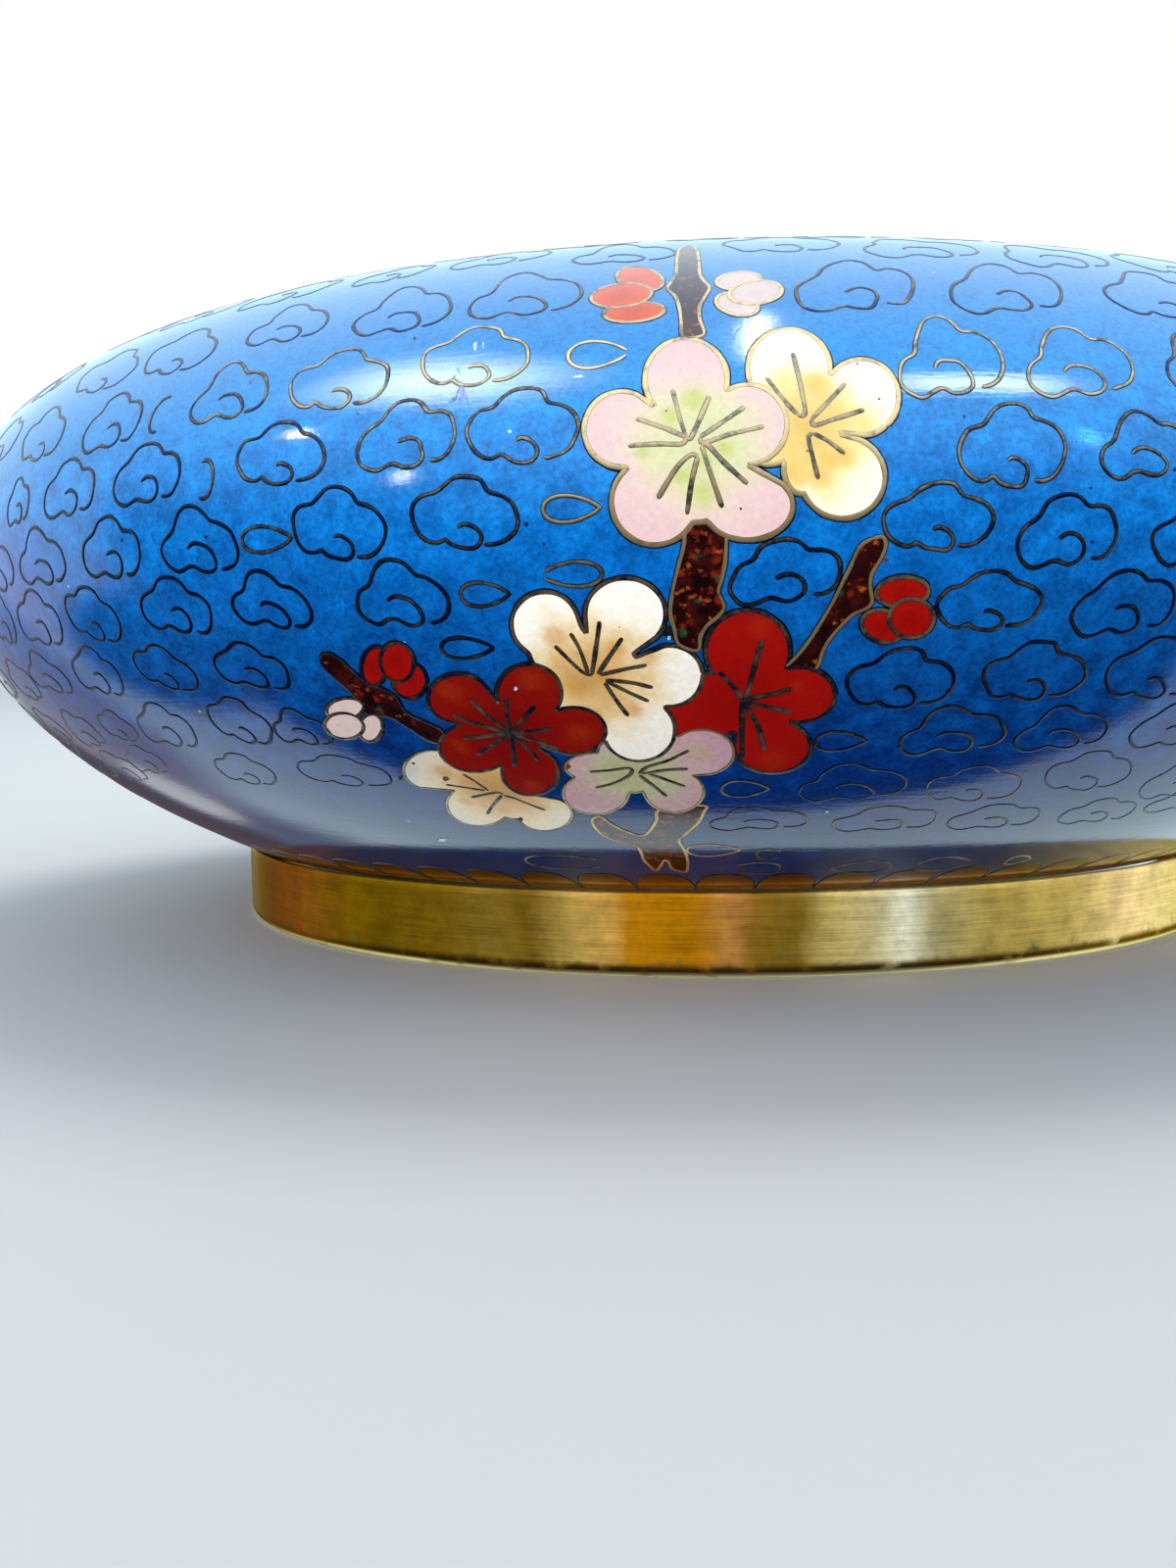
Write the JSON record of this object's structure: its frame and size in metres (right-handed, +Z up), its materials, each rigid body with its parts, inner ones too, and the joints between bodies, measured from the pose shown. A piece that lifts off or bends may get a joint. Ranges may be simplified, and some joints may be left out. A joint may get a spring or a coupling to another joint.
{
  "type": "cloisonne bowl",
  "caption": "Squat round bowl with a side that turns in to a level shoulder, a slim lip round the mouth and a plain turned foot ring.",
  "frame": {"origin": "middle of the foot ring's underside, on the surface that the bowl stands on", "axes": "+Z up along the bowl's axis, -Y towards the viewer of the flower spray, +X to the viewer's right"},
  "size_m": [0.2, 0.2, 0.0763],
  "materials": {
    "enamel": "glossy blue glass enamel over copper, with fine brass wire outlines",
    "foot_brass": "turned and hand rubbed, with olive and orange patina",
    "lip_brass": "polished by handling"
  },
  "bodies": {
    "root": {"bowl_body": "enamel", "foot_ring": "foot_brass", "mouth_rim": "lip_brass"}
  },
  "joints": []
}
